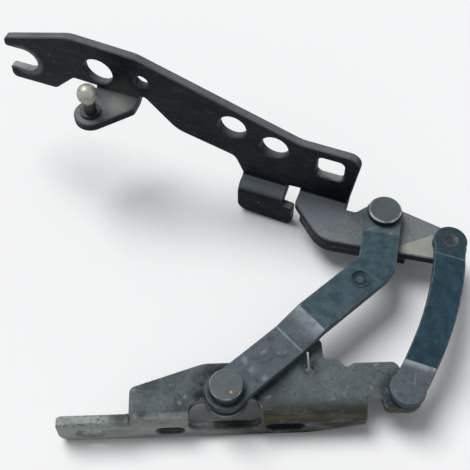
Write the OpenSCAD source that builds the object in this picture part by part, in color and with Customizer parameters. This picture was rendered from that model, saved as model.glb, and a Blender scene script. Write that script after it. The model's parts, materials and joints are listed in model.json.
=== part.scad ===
// Four-bar bonnet hinge, lying on its side with the pivot axes upright.
// Two links join a body bracket to a bonnet bracket. Millimetres, +Z along the pivots.
// Plan measures start at the front lower pivot, heights at the lower edge of the body flange.
// On the bonnet bracket they start at the front upper pivot and at the arm's top face.

/* [Pivots] */
// Rear lower pivot, along the body flange
rear_pivot_x = 78; // [74:0.5:84]
// Rear lower pivot, drop towards the body flange
rear_pivot_drop = 1.6; // [0:0.1:3]
// Front upper pivot, along the body flange
upper_pivot_x = 78.7; // [75:0.1:83]
// Front upper pivot, square to the body flange
upper_pivot_y = 87.9; // [84:0.1:92]
// Spacing of the two upper pivots, along the bonnet flange
arm_pivot_gap = 33.3; // [31:0.1:37]
// Offset of the two upper pivots, square to the bonnet flange
arm_pivot_drop = 4; // [0:0.5:6]
// Angle between the body flange and the bonnet flange
flange_angle = 22.5; // [18:0.5:27]

/* [Pressed plate] */
// Thickness of the two brackets
plate_t = 4.5; // [3.5:0.1:5.5]
// Inner radius of the bends
bend_r = 1.5; // [1:0.1:2.5]
// Step from the web of the body bracket up to the bonnet arm
arm_rise = 3; // [1:0.1:5]
// Rounding of the plates' sharp corners
corner_r = 3; // [1:0.1:4]
// Rounding of the plates' small nicks
nick_r = 1.5; // [0.5:0.1:2]
// Rounding of the plates' sweeping turns
sweep_r = 14; // [8:0.5:20]

/* [Body flange] */
// Height of the body flange
base_h = 17; // [15:0.5:22]
// Pivot line to the outer face of the body flange
base_drop = 11.5; // [11:0.5:15]
// Reach of the flange to the left of the front pivot
base_left = 73.2; // [68:0.2:80]
// Rounding of the flange's lower left corner
base_tip_r = 6; // [3:0.5:8]
// Length of the raised lower edge at the right end
toe_l = 25; // [15:1:26]
// Height of the raised lower edge at the right end
toe_h = 7; // [2:0.5:8]
// Width of the bolt slots
slot_w = 7; // [5:0.1:8]
// Length of the two left bolt slots
slot_l = 12.4; // [9:0.2:14]
// Length of the right bolt slot
long_slot_l = 17; // [12:0.5:18]
// Height of the slots over the lower edge
slot_h = 7; // [6:0.2:8]
// Left slot, from the front pivot
slot_far_x = 59; // [56:0.5:62]
// Middle slot, from the front pivot
slot_near_x = 24.5; // [24:0.5:30]
// Right slot, from the front pivot
slot_right_x = 25.3; // [24.5:0.1:26]

/* [Body web] */
// Reach of the web to the left of the front pivot
web_left = 42; // [38:0.5:46]
// Height of the web's left corner
web_corner_h = 5; // [3:0.5:7]
// Height of the shoulder over the front pivot
shoulder_h = 15.6; // [13:0.2:18]
// Right edge of the lobe under the front link
lobe_right = 43.5; // [42:0.5:46]
// Foot of the lobe under the front link
lobe_foot = 16; // [15:0.5:18]
// Top of the lobe under the front link
lobe_top = 25.5; // [24:0.5:29]
// Width of the lobe at its top
lobe_w = 8; // [6:0.5:10]
// Slit beside the lobe, from the front pivot
slit_x = 37; // [35:0.5:39]
// Width of the slit
slit_w = 1.2; // [0.8:0.1:2.4]
// Radius of the round hole at the slit's lower end
slit_end_r = 1.9; // [1.3:0.1:2.5]
// Lower end of the slit
slit_low = 11.5; // [9:0.5:14]
// Upper end of the slit
slit_top = 21.5; // [18:0.5:23]
// Height of the web between the lobe and the rear foot
waist_h = 13.7; // [13:0.1:15]
// Dip in the waist's edge, from the front pivot
dip_x = 53.2; // [51:0.2:56]
// Half width of the dip
dip_half = 3.6; // [2.5:0.1:5]
// Depth of the dip under the waist
dip_t = 2; // [1:0.1:4]
// Radius of the rear foot
foot_r = 7.6; // [7.4:0.1:9]
// Width of the notch beside the rear foot
notch_w = 7.3; // [5:0.1:8]
// Inner end of the notch, below the front pivot
notch_low = 2.4; // [1:0.1:4]
// Web left between the notch and the round foot
foot_side = 2.6; // [0.5:0.1:4]
// Radius of the tongue that carries the front pivot
tongue_r = 9.6; // [9:0.1:10.8]
// Width of the window round the tongue
window_w = 31; // [28:0.5:33]
// Upper edge of the window, below the front pivot
window_low = 2; // [1:0.1:4]
// Depth of the window below the web's top face
window_drop = 10.5; // [8:0.1:11]
// Rounding of the window's corners
window_r = 5; // [2:0.1:6]
// Middle of the window, to the left of the front pivot
window_in = 0.8; // [0:0.1:1]

/* [Bonnet flange] */
// Front face of the flange, behind the front upper pivot
flange_off = 3; // [2.5:0.1:4]
// Reach of the flange to the left of the pivot
flange_l = 198; // [192:1:206]
// Right end of the flange, from the pivot
flange_right = 15; // [14.5:0.5:17]
// Height of the crown at its left end
crown_h = 62.4; // [59:0.2:67]
// Fall of the crown towards its right end
crown_fall = 1.8; // [0:0.1:4]
// Left end of the crown, from the left end of the flange
crown_in = 36; // [30:1:40]
// Right end of the crown, from the pivot
crown_right = 128; // [120:1:134]
// Height of the low right stretch
low_h = 33.7; // [32:0.1:36]
// Rounding of the flange's upper right corner
flange_end_r = 6; // [2:0.5:8]
// Where the top edge starts to climb, from the pivot
climb_x = 45.4; // [42:0.2:52]
// Height of the left end's upper corner
tip_h = 51; // [50:0.5:54]
// Height of the lower prong's lower edge
prong_low = 25; // [22:0.5:27]
// Length of the lower prong
prong_l = 24.5; // [20:0.5:28]
// Run of the edge from the lower prong up to the tab
prong_run = 11; // [6:0.5:14]
// Height of the fork slot's middle
fork_h = 39.2; // [38.5:0.1:40]
// Width of the fork slot
fork_w = 13.6; // [12:0.1:14.5]
// Depth of the fork slot
fork_l = 16.4; // [13:0.1:19]
// Left end of the belly edge, from the pivot
belly_left = 108.5; // [104:0.5:112]
// Height of the belly edge's left end
belly_left_h = 19.6; // [17:0.2:23]
// Right end of the belly edge, from the pivot
belly_right = 78; // [76:0.2:82]
// Height of the belly edge's right end
belly_right_h = 12; // [9:0.2:15]
// Radius of the round hole over the tab
wide_hole_r = 7.5; // [6:0.1:8]
// Round hole over the tab, from the pivot
wide_hole_x = 148; // [145:0.5:152]
// Height of that hole over the tab
wide_hole_rise = 10.9; // [10:0.1:13]
// Radius of the setting hole
setting_hole_r = 3.5; // [2:0.1:4.5]
// Setting hole, from the pivot
setting_hole_x = 125.3; // [122:0.1:130]
// Height of the setting hole
setting_hole_h = 46.5; // [44:0.1:49]
// Radius of the two bolt holes
bolt_hole_r = 6.9; // [5:0.1:7.5]
// Left bolt hole, from the pivot
bolt_hole_x = 79.3; // [76:0.1:83]
// Height of the left bolt hole
bolt_hole_h = 32.6; // [30:0.1:35]
// Spacing of the bolt holes, along the flange
bolt_gap = 21.4; // [18:0.1:25]
// Drop from the left bolt hole to the right one
bolt_drop = 6.2; // [3:0.1:9]
// Side of the rounded square hole
square_side = 13.5; // [11:0.5:15]
// Rounded square hole, from the pivot
square_x = 29.7; // [28:0.1:31]
// Height of the rounded square hole
square_h = 22; // [19:0.1:24]

/* [Bonnet arm] */
// Radius of the arm round its front pivot
arm_eye_r = 10; // [9:0.1:11]
// Radius of the arm round its rear pivot
arm_tip_r = 8.8; // [8:0.1:10]
// Lowest corner of the arm, below the pivot
arm_depth = 21.6; // [19:0.2:24]
// Lowest corner of the arm, to the left of the pivot
arm_toe = 25.5; // [22:0.5:29]
// Shoulder of the arm's left edge, below the pivot
arm_shoulder = 4.9; // [3:0.1:7]
// Left end of the arm's bend, from the pivot
arm_left = 43.4; // [41:0.2:44]
// Right end of the arm's bend, from the pivot
arm_right = 18.7; // [17.5:0.1:21]
// Depth of the lip turned down along the arm's lower edge
lip_h = 9; // [6:0.2:11]
// Start of the lip, from the arm's shoulder
lip_in = 5; // [4:0.5:8]
// Right end of the lip, from the pivot
lip_right = 16; // [8:0.5:18]
// Width of the relief between the bend and the front upper pivot
relief_w = 5; // [3:0.1:6]
// Depth of that relief
relief_t = 1.5; // [0.5:0.1:3]

/* [Hook tab] */
// Left edge of the hook, from the pivot
hook_left = 73.6; // [70:0.2:75]
// Slit between the hook and the arm
hook_gap = 1; // [0.5:0.1:3]
// Width of the relief cut into the hook's bends beside that slit
hook_relief = 5.2; // [2:0.1:8]
// Flat stretch between the hook's two bends
hook_ledge = 0.5; // [0.2:0.1:3]
// Depth of the hook
hook_drop = 20; // [16:0.5:22]
// Rise of the hook's lower edge towards its left corner
hook_slant = 1.8; // [0:0.1:4]
// Rounding of the hook's lower corners
hook_r = 5; // [2:0.5:8]

/* [Ball stud tab] */
// Height of the tab
tab_h = 34.4; // [32:0.2:37]
// Left end of the tab's bend, from the pivot
tab_left = 150; // [147:0.5:153]
// Right end of the tab's bend, from the pivot
tab_right = 127; // [125.5:0.5:131]
// Radius of the tab's end round the stud
tab_r = 8.2; // [7:0.1:9]
// Depth of the tab's straight right side
tab_side = 5.5; // [3:0.1:9]
// Free edge beside the tab's bend
tab_nick = 3; // [1.5:0.1:5]
// Stud axis, from the tab's left end
stud_in = 4.5; // [3:0.5:7]
// Stud axis, in front of the flange
stud_reach = 16; // [15:0.1:19]
// Diameter of the ball
ball_d = 10; // [8:0.2:13]
// Ball centre over the tab
ball_rise = 12.6; // [10:0.1:18]
// Diameter of the stud's neck
neck_d = 6; // [4:0.1:7]
// Diameter of the stud's shank in the tab
stud_shank_d = 7; // [5:0.1:8]
// Diameter of the stud's collar and formed end
collar_d = 10; // [9:0.1:12]
// Thickness of the stud's collar and formed end
collar_t = 1.5; // [1:0.1:2.5]

/* [Links] */
// Thickness of the links
link_t = 4.5; // [3.5:0.1:5.5]
// Height of the links' middle over their upper eyes
link_hump = 1.2; // [0.5:0.1:2.5]
// Run of the bend before each upper eye
top_run = 3; // [2:0.1:5]
// Width of the front link
front_w = 17.5; // [15:0.5:19]
// Radius of the front link's lower eye
front_eye_r = 9.2; // [9:0.1:11]
// Radius of the front link's upper eye
front_top_r = 9.1; // [9:0.1:10]
// Elbow of the front link, along the line of its pivots
elbow_x = 91; // [86:0.5:94]
// Elbow of the front link, off the line of its pivots
elbow_off = 14.4; // [10:0.2:15]
// Start of the front link's step, from the lower pivot
step_start = 37; // [30:0.5:42]
// End of the front link's step, from the lower pivot
step_end = 50; // [46:0.5:56]
// Front link's bend before its upper eye, from the pivot
front_bend = 11.7; // [11:0.1:13]
// Radius of the coined mark on the front link
mark_r = 3.8; // [2:0.1:4.5]
// Depth of the coined mark
mark_t = 0.5; // [0.2:0.1:1]
// Width of the bead raised round the coined mark
bead_w = 1; // [0.5:0.1:1.5]
// Height of that bead
bead_h = 0.3; // [0.1:0.05:0.6]
// Coined mark, from the lower pivot
mark_x = 80.8; // [70:0.1:83]
// Width of the rear link
rear_w = 14.5; // [12:0.5:16]
// Sideways bow of the rear link
rear_bow = 4.4; // [2:0.2:6]
// Radius of the rear link's eyes
rear_eye_r = 8; // [7.6:0.1:9]
// Lower bend of the rear link, from its pivot
rear_bend = 12; // [11:0.5:16]
// Run of the rear link's step over its foot
rear_run = 11; // [8:0.5:16]
// Rear link's bend before its upper eye, from the pivot
rear_top_bend = 9; // [9:0.1:12]

/* [Pivot hardware] */
// Shank diameter of the pivot rivets
rivet_d = 8; // [6:0.1:8.5]
// Shank diameter of the blind rivet in the rear foot
foot_rivet_d = 7; // [6:0.1:7.5]
// Radial play of the blind rivet, taken up over the hinge's travel
foot_play = 1.3; // [1.2:0.05:1.6]
// Running clearance of a shank in its bush, on the radius
run_clear = 0.05; // [0.02:0.01:0.1]
// Clearance between pieces that are fixed together, on the radius
fit_clear = 0.02; // [0.01:0.01:0.05]
// Clearance of a shank in a thrust washer, on the radius
washer_clear = 0.3; // [0.1:0.05:0.5]
// Gap between faces that turn on each other
face_gap = 0.1; // [0.05:0.05:0.3]
// Wall of the bushes
bush_wall = 1.1; // [0.8:0.05:1.3]
// Thickness of the bush flanges and thrust washers
washer_t = 0.8; // [0.5:0.1:1.2]
// Diameter of the bush flanges and thrust washers
washer_d = 14.6; // [13.6:0.1:15]
// Head diameter of the front lower rivet
low_head_d = 14.8; // [13:0.1:16]
// Head height of the front lower rivet
low_head_h = 4.8; // [2.5:0.1:6]
// Head diameter of the front upper rivet
top_head_d = 16; // [14:0.1:17]
// Head height of the front upper rivet
top_head_h = 3; // [2.5:0.1:4]
// Rounding of the front lower head and of the rivets' lower heads
head_round = 1.1; // [0.5:0.1:1.5]
// Rounding of the front upper head
top_round = 2; // [0.5:0.1:2.2]
// Diameter of the rivets' lower heads
tail_d = 12.6; // [12:0.1:13.4]
// Height of the rivets' lower heads
tail_h = 2.5; // [1.8:0.1:3.5]
// Diameter of the flush end of the rear upper rivet
flush_d = 10.4; // [9.5:0.1:11]
// Depth of the flush end's flare
flush_t = 1.4; // [1:0.1:2]
// Diameter of the dished centre in the flush end
dish_d = 7.4; // [5:0.1:8]
// Depth of the dished centre
dish_t = 0.9; // [0.4:0.1:1.2]
// Depth of the blind hole in the rear link's foot
blind_t = 3; // [2:0.1:3]

/* [Hidden] */
$fn = 64;

bracket_paint = "#2a2d31";
link_paint = "#333a45";
worn_zinc = "#a39c90";
bearing_bronze = "#8c7a55";

// How far a cut runs past the face that it opens
past = 1;
// How far a bend reaches into the plates beside it, and how deep inside their faces
lap = 0.5;
// Turn of one step of a rounded corner, in degrees
arc_angle = 12;
// Most of an edge that one rounded corner may take up
corner_share = 0.49;

// Pivots in plan
front_lower = [0, 0];
rear_lower = [rear_pivot_x, -rear_pivot_drop];
front_upper = [upper_pivot_x, upper_pivot_y];
arm_rear = [arm_pivot_gap, -arm_pivot_drop];
rear_upper = front_upper + turned(arm_rear, -flange_angle);
front_len = norm(front_upper - front_lower);
rear_len = norm(rear_upper - rear_lower);

// Levels
web_top = base_h;
arm_top = web_top + arm_rise;
seat = washer_t + face_gap;
low_bed = web_top + seat;
top_bed = arm_top + seat;
mid_bed = top_bed + link_hump;
mid_top = mid_bed + link_t;

// The origin lies in the outer face of the body flange, midway between the two left slots
origin = [-(slot_far_x + slot_near_x) / 2, -base_drop, slot_h];

// Bends
bend_out = bend_r + plate_t;
base_bend = [bend_out - base_drop, web_top - bend_out];
arm_bend_y = flange_off - bend_r;
hook_bend_y = arm_bend_y - hook_ledge;
hook_right = arm_left + hook_gap;
hook_neck = hook_right + hook_relief;
tab_bend_h = tab_h + bend_r;

// Hardware radii
rivet_r = rivet_d / 2;
foot_rivet_r = foot_rivet_d / 2;
bore_r = rivet_r + run_clear;
foot_bore_r = foot_rivet_r + foot_play;
washer_r = washer_d / 2;
tail_r = tail_d / 2;
flush_r = flush_d / 2;

stud = [stud_in - tab_left, flange_off - stud_reach];
notch_right = rear_pivot_x - foot_r - foot_side;
notch_left = notch_right - notch_w;

function turned(v, a) = [v[0] * cos(a) - v[1] * sin(a), v[0] * sin(a) + v[1] * cos(a)];
function heading(a, b) = atan2(b[1] - a[1], b[0] - a[0]);
function unit(v) = v / norm(v);
function dot(a, b) = a[0] * b[0] + a[1] * b[1];
function left_of(v) = [-v[1], v[0]];
function flat(p) = [p[0], p[1]];
function corner(p, r) = [p[0], p[1], r];
function pick(list, i) = list[(i + len(list)) % len(list)];

// An outline of [x, y, r] corners, run anticlockwise, with each corner turned into an arc
function rounded(pts) = [for (i = [0:len(pts) - 1])
  each corner_arc(flat(pick(pts, i - 1)), flat(pts[i]), flat(pick(pts, i + 1)), pts[i][2])];

function corner_arc(a, b, c, r) =
  let (
    to_a = unit(a - b),
    to_c = unit(c - b),
    half = acos(dot(to_a, to_c)) / 2,
    run = min(r / tan(half), corner_share * min(norm(a - b), norm(c - b))),
    round_r = run * tan(half),
    centre = b + unit(to_a + to_c) * round_r / sin(half),
    start = heading(centre, b + to_a * run),
    sweep = (180 - 2 * half) * sign(cross(b - a, c - b)),
    steps = max(1, ceil(abs(sweep) / arc_angle))
  )
  r > 0 ? [for (k = [0:steps]) centre + turned([round_r, 0], start + sweep * k / steps)] : [b];

// A strip of even height t over a path of [x, z] points
function ribbon(path, t) = concat(path, [for (i = [len(path) - 1:-1:0]) path[i] + [0, t]]);

// The path of two straight legs, moved to its left by d
function beside(a, b, c, d) =
  let (
    n1 = left_of(unit(b - a)),
    n2 = left_of(unit(c - b)),
    mitre = (n1 + n2) / (1 + dot(n1, n2))
  )
  [a + n1 * d, b + mitre * d, c + n2 * d];

// The outline of a bar of width w over two straight legs
function dog_leg(a, b, c, w) =
  let (
    low = beside(a, b, c, -w / 2),
    high = beside(a, b, c, w / 2)
  )
  [corner(low[0], 0), corner(low[1], w), corner(low[2], 0),
    corner(high[2], 0), corner(high[1], w / 2), corner(high[0], 0)];

// Everything is drawn from the front lower pivot and then set on the part's origin
module placed() {
  translate(-origin) children();
}

// The bonnet bracket's axes: along its flange, square to it, and up from the arm's top face
module in_arm() {
  placed() translate([front_upper[0], front_upper[1], arm_top]) rotate(-flange_angle) children();
}

// The axes of a link, from its lower pivot towards its upper one
module along_link(from, to) {
  placed() translate([from[0], from[1], 0]) rotate(heading(from, to)) children();
}

module on_pivot(p) {
  placed() translate([p[0], p[1], 0]) children();
}

// A flat plate with its top face at the level top
module lying(top) {
  translate([0, 0, top - plate_t]) linear_extrude(plate_t) children();
}

// An upright plate with its front face at y = face
module upright(face, margin = 0) {
  translate([0, face + plate_t + margin, 0]) rotate([90, 0, 0])
    linear_extrude(plate_t + 2 * margin) children();
}

// A quarter bend along x round the point [y, z]
module bend(from_x, to_x, centre, turn) {
  translate([from_x, centre[0], centre[1]]) rotate([90, 0, 90]) linear_extrude(to_x - from_x)
    rotate(turn) {
      difference() {
        intersection() {
          circle(bend_out);
          square(bend_out);
        }
        circle(bend_r);
      }
      translate([bend_r + lap, -lap]) square([plate_t - 2 * lap, 2 * lap]);
      translate([-lap, bend_r + lap]) square([2 * lap, plate_t - 2 * lap]);
    }
}

module slot(l, w) {
  square([l - w, w], center = true);
  for (side = [-1, 1]) translate([side * (l - w) / 2, 0]) circle(w / 2);
}

module drill(p, top, t, r) {
  translate([p[0], p[1], top - t - past]) cylinder(r = r, h = t + 2 * past);
}

// Web of the body bracket, down to its bend
module web_outline() {
  foot_low = rear_lower[1] - foot_r;
  polygon(rounded([
    [-web_left, base_bend[0], 0],
    [notch_left, base_bend[0], 0],
    [notch_left, -notch_low, notch_w / 2],
    [notch_right, -notch_low, notch_w / 2],
    [notch_right, foot_low, corner_r],
    [rear_lower[0], foot_low, 0],
    [rear_lower[0] + foot_r / 2, rear_lower[1] + foot_r / 2, 0],
    [rear_lower[0] - corner_r, waist_h, corner_r],
    [dip_x + dip_half, waist_h, nick_r],
    [dip_x, waist_h - dip_t, nick_r],
    [dip_x - dip_half, lobe_foot, nick_r],
    [lobe_right, lobe_foot, nick_r],
    [lobe_right, lobe_top, corner_r],
    [lobe_right - lobe_w, lobe_top + corner_r, corner_r],
    [tongue_r, shoulder_h, sweep_r],
    [-tongue_r, shoulder_h, sweep_r],
    [-web_left, web_corner_h, corner_r]
  ]));
  translate(rear_lower) circle(foot_r);
}

module base_outline() {
  polygon(rounded([
    [-base_left, 0, base_tip_r],
    [notch_left - toe_l, 0, sweep_r],
    [notch_left, toe_h, nick_r],
    [notch_left, base_bend[1], 0],
    [-web_left, base_bend[1], 0],
    [-web_left, web_top, 0],
    [-base_left, web_top, corner_r]
  ]));
}

// Window round the tongue: it runs from the web over the bend into the body flange
module window_cut() {
  half = window_w / 2;
  floor_z = web_top - window_drop;
  translate([-window_in, 0, 0]) intersection() {
    translate([0, 0, floor_z]) linear_extrude(window_drop + past) polygon(rounded([
      [-half, -base_drop - past, 0],
      [half, -base_drop - past, 0],
      [half, -window_low, window_r],
      [-half, -window_low, window_r]
    ]));
    translate([0, past, 0]) rotate([90, 0, 0]) linear_extrude(base_drop + 2 * past + window_low)
      polygon(rounded([
        [-half, floor_z, window_r],
        [half, floor_z, window_r],
        [half, web_top + past, 0],
        [-half, web_top + past, 0]
      ]));
  }
}

module lower_bracket() {
  slit_l = slit_top - slit_low;
  color(bracket_paint) placed() difference() {
    union() {
      difference() {
        union() {
          lying(web_top) web_outline();
          bend(-web_left, notch_left, base_bend, 90);
          upright(-base_drop) base_outline();
        }
        window_cut();
      }
      lying(web_top) circle(tongue_r);
    }
    translate([slit_x, (slit_low + slit_top) / 2, web_top - plate_t - past])
      linear_extrude(plate_t + 2 * past) {
        rotate(90) slot(slit_l, slit_w);
        translate([0, -slit_l / 2]) circle(slit_end_r);
      }
    upright(-base_drop, past) {
      translate([-slot_far_x, slot_h]) slot(slot_l, slot_w);
      translate([-slot_near_x, slot_h]) slot(slot_l, slot_w);
      translate([slot_right_x, slot_h]) slot(long_slot_l, slot_w);
    }
    drill(front_lower, web_top, plate_t, rivet_r + fit_clear);
    drill(rear_lower, web_top, plate_t, foot_bore_r + bush_wall + fit_clear);
  }
}

// Bonnet flange, with its fork open to the left and its lower edge on the three bends
module flange_outline() {
  fork_top = fork_h + fork_w / 2;
  fork_low = fork_h - fork_w / 2;
  fork_end = fork_l - flange_l;
  rise_x = prong_l - flange_l;
  polygon(rounded([
    [-flange_l, prong_low, corner_r],
    [rise_x, prong_low, corner_r],
    [rise_x + prong_run, tab_bend_h, corner_r],
    [tab_nick - tab_right, tab_bend_h, nick_r],
    [-belly_left, belly_left_h, sweep_r],
    [-belly_right, belly_right_h, hook_r],
    [-hook_left, bend_r, 0],
    [-arm_right, bend_r, 0],
    [-flange_right, low_h, flange_end_r],
    [-climb_x, low_h, sweep_r],
    [-crown_right, crown_h - crown_fall, sweep_r],
    [crown_in - flange_l, crown_h, sweep_r],
    [-flange_l, tip_h, corner_r],
    [-flange_l, fork_top, nick_r],
    [fork_end, fork_top, fork_w / 2],
    [fork_end, fork_low, fork_w / 2],
    [-flange_l, fork_low, nick_r]
  ]));
}

module square_outline() {
  half = square_side / 2;
  polygon(rounded([
    [-half, -half, corner_r],
    [half, -half, corner_r],
    [half, half, corner_r],
    [-half, half, corner_r]
  ]));
}

module arm_outline() {
  polygon(rounded([
    [-arm_left, arm_bend_y, 0],
    [-arm_left, -arm_shoulder, corner_r],
    [-arm_toe, -arm_depth, sweep_r],
    [arm_rear[0], arm_rear[1] - arm_tip_r, 0],
    [arm_rear[0], arm_rear[1] + arm_tip_r, 0],
    [0, arm_eye_r, 0],
    [-arm_eye_r, arm_eye_r / 2, 0],
    [relief_w - arm_right, arm_bend_y - relief_t, corner_r],
    [-arm_right, arm_bend_y - relief_t, 0],
    [-arm_right, arm_bend_y, 0]
  ]));
  circle(arm_eye_r);
  translate(arm_rear) circle(arm_tip_r);
}

// Lip along the arm's lower edge, inside the arm's outline
module lip_outline() {
  shoulder = [-arm_left, -arm_shoulder];
  toe = [-arm_toe, -arm_depth];
  rear = arm_rear - [0, arm_tip_r];
  start = shoulder + unit(toe - shoulder) * lip_in;
  end = toe + (rear - toe) * (arm_toe + lip_right) / (arm_toe + rear[0]);
  inner = beside(start, toe, end, plate_t);
  polygon(rounded([
    corner(start, 0),
    corner(toe, sweep_r),
    corner(end, 0),
    corner(inner[2], 0),
    corner(inner[1], sweep_r - plate_t),
    corner(inner[0], 0)
  ]));
}

module hook_outline() {
  polygon(rounded([
    [-hook_left, hook_slant - hook_drop, hook_r],
    [-hook_right, -hook_drop, corner_r],
    [-hook_right, -bend_out, nick_r],
    [-hook_left, -bend_out, 0]
  ]));
}

module tab_outline() {
  lean = 45;
  polygon(rounded([
    [-tab_left, arm_bend_y, 0],
    [stud[0] - tab_r, stud[1], 0],
    corner(stud, 0),
    corner(stud + turned([tab_r, 0], -lean), 0),
    [-tab_right, arm_bend_y - tab_side, corner_r],
    [-tab_right, arm_bend_y, 0]
  ]));
  translate(stud) circle(tab_r);
}

module upper_bracket() {
  color(bracket_paint) in_arm() difference() {
    union() {
      upright(flange_off) flange_outline();
      bend(-arm_left, -arm_right, [arm_bend_y, bend_r], -90);
      lying(0) arm_outline();
      translate([0, 0, -lip_h]) linear_extrude(lip_h - plate_t / 2) lip_outline();
      bend(-hook_left, -hook_neck, [arm_bend_y, bend_r], -90);
      translate([-hook_left, hook_bend_y, -plate_t])
        cube([hook_left - hook_neck, hook_ledge, plate_t]);
      bend(-hook_left, -hook_neck, [hook_bend_y, -bend_out], 90);
      upright(hook_bend_y - bend_out) hook_outline();
      bend(-tab_left, -tab_right, [arm_bend_y, tab_bend_h], -90);
      lying(tab_h) tab_outline();
    }
    upright(flange_off, past) {
      translate([-wide_hole_x, tab_h + wide_hole_rise]) circle(wide_hole_r);
      translate([-setting_hole_x, setting_hole_h]) circle(setting_hole_r);
      for (i = [0, 1]) translate([i * bolt_gap - bolt_hole_x, bolt_hole_h - i * bolt_drop])
        circle(bolt_hole_r);
      translate([-square_x, square_h]) square_outline();
    }
    drill([0, 0], 0, plate_t, rivet_r + fit_clear);
    drill(arm_rear, 0, plate_t, bore_r + bush_wall + fit_clear);
    drill(stud, tab_h, plate_t, stud_shank_d / 2 + fit_clear);
  }
}

// A block across a link, cut to an outline of [x, z] points
module link_block(pts) {
  rotate([90, 0, 0]) linear_extrude(2 * front_len, center = true) polygon(pts);
}

// The front link in plan, along the line of its pivots
module front_plan(elbow, tip) {
  polygon(rounded(dog_leg(front_lower, elbow, tip, front_w)));
  circle(front_eye_r);
  translate(tip) circle(front_top_r);
}

// The dog-leg front link: flat at its lower eye, stepped up to its middle and down to its upper eye
module front_link() {
  tip = [front_len, 0];
  elbow = [elbow_x, -elbow_off];
  leg_two = norm(tip - elbow);
  lean_one = heading(front_lower, elbow);
  lean_two = heading(elbow, tip);
  step_over = past * (step_end - step_start) / (mid_bed - low_bed);
  hump_end = leg_two - front_bend - top_run;
  hump_over = past * top_run / link_hump;
  eye_start = leg_two - front_bend;
  color(link_paint) along_link(front_lower, front_upper) difference() {
    union() {
      translate([0, 0, low_bed]) linear_extrude(mid_top - low_bed) front_plan(elbow, tip);
      rotate(lean_one) translate([mark_x, 0, mid_bed])
        cylinder(r = mark_r + bead_w, h = link_t + bead_h);
    }
    // Above the lower eye and its step
    rotate(lean_one) link_block([
      [-front_len, low_bed + link_t],
      [step_start, low_bed + link_t],
      [step_end + step_over, mid_top + past],
      [-front_len, mid_top + past]
    ]);
    // Above the upper eye
    translate([elbow[0], elbow[1], 0]) rotate(lean_two) link_block([
      [hump_end - hump_over, mid_top + past],
      [eye_start, top_bed + link_t],
      [front_len, top_bed + link_t],
      [front_len, mid_top + past]
    ]);
    // Below the step, the middle and the upper eye
    intersection() {
      rotate(lean_one) link_block([
        [step_start - step_over, low_bed - past],
        [2 * front_len, low_bed - past],
        [2 * front_len, mid_bed + past],
        [step_end + step_over, mid_bed + past]
      ]);
      translate([elbow[0], elbow[1], 0]) rotate(lean_two) link_block([
        [-front_len, low_bed - 2 * past],
        [front_len, low_bed - 2 * past],
        [front_len, top_bed],
        [eye_start, top_bed],
        [hump_end, mid_bed],
        [-front_len, mid_bed]
      ]);
    }
    drill(front_lower, low_bed + link_t, link_t, bore_r + bush_wall + fit_clear);
    drill(tip, top_bed + link_t, link_t, bore_r + bush_wall + fit_clear);
    rotate(lean_one) translate([mark_x, 0, mid_top - mark_t])
      cylinder(r = mark_r, h = mark_t + bead_h + past);
  }
}

// A bar of width w that bows sideways between two eyes
module bowed_bar(l, bow, w) {
  arc_r = (l * l / 4 + bow * bow) / (2 * bow);
  middle = [l / 2, arc_r - bow];
  reach = 2;
  intersection() {
    translate(middle) difference() {
      circle(arc_r + w / 2, $fn = 4 * $fn);
      circle(arc_r - w / 2, $fn = 4 * $fn);
    }
    polygon([middle, middle - reach * middle, middle + reach * ([l, 0] - middle)]);
  }
}

// The rear link: bowed in plan and stepped like the front one
module rear_link() {
  tip = [rear_len, 0];
  top = top_bed + link_t;
  color(link_paint) along_link(rear_lower, rear_upper) difference() {
    intersection() {
      linear_extrude(mid_top + past) {
        bowed_bar(rear_len, rear_bow, rear_w);
        circle(rear_eye_r);
        translate(tip) circle(rear_eye_r);
      }
      link_block(ribbon([
        [-rear_eye_r - past, low_bed],
        [rear_bend, low_bed],
        [rear_bend + rear_run, mid_bed],
        [rear_len - rear_top_bend - top_run, mid_bed],
        [rear_len - rear_top_bend, top_bed],
        [rear_len + rear_eye_r + past, top_bed]
      ], link_t));
    }
    translate([0, 0, low_bed - past]) cylinder(r = foot_rivet_r + fit_clear, h = blind_t + past);
    drill(tip, top, link_t, rivet_r + fit_clear);
    translate([tip[0], tip[1], top - flush_t])
      cylinder(r1 = rivet_r + fit_clear, r2 = flush_r + fit_clear, h = flush_t);
  }
}

// Ball stud, riveted into its tab
module ball_stud() {
  color(worn_zinc) in_arm() translate([stud[0], stud[1], tab_h]) {
    translate([0, 0, ball_rise]) sphere(d = ball_d);
    cylinder(d = neck_d, h = ball_rise);
    cylinder(d = collar_d, h = collar_t);
    translate([0, 0, -plate_t - past]) cylinder(d = stud_shank_d, h = plate_t + 2 * past);
    translate([0, 0, -plate_t - collar_t]) cylinder(d = collar_d, h = collar_t);
  }
}

// A headed rivet that is formed under its plate and turns in a link lying on the level bed
module front_rivet(plate_top, bed, head_r, head_h, edge_r) {
  tail_top = plate_top - plate_t;
  tail_low = tail_top - tail_h;
  head_low = bed + link_t + seat;
  color(link_paint) rotate_extrude() polygon(rounded([
    [0, tail_low, 0],
    [tail_r, tail_low, head_round],
    [tail_r, tail_top, 0],
    [rivet_r, tail_top, 0],
    [rivet_r, head_low, 0],
    [head_r, head_low, 0],
    [head_r, head_low + head_h, edge_r],
    [0, head_low + head_h, 0]
  ]));
}

module front_lower_rivet() {
  on_pivot(front_lower) front_rivet(web_top, low_bed, low_head_d / 2, low_head_h, head_round);
}

module front_upper_rivet() {
  on_pivot(front_upper) front_rivet(arm_top, top_bed, top_head_d / 2, top_head_h, top_round);
}

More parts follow.
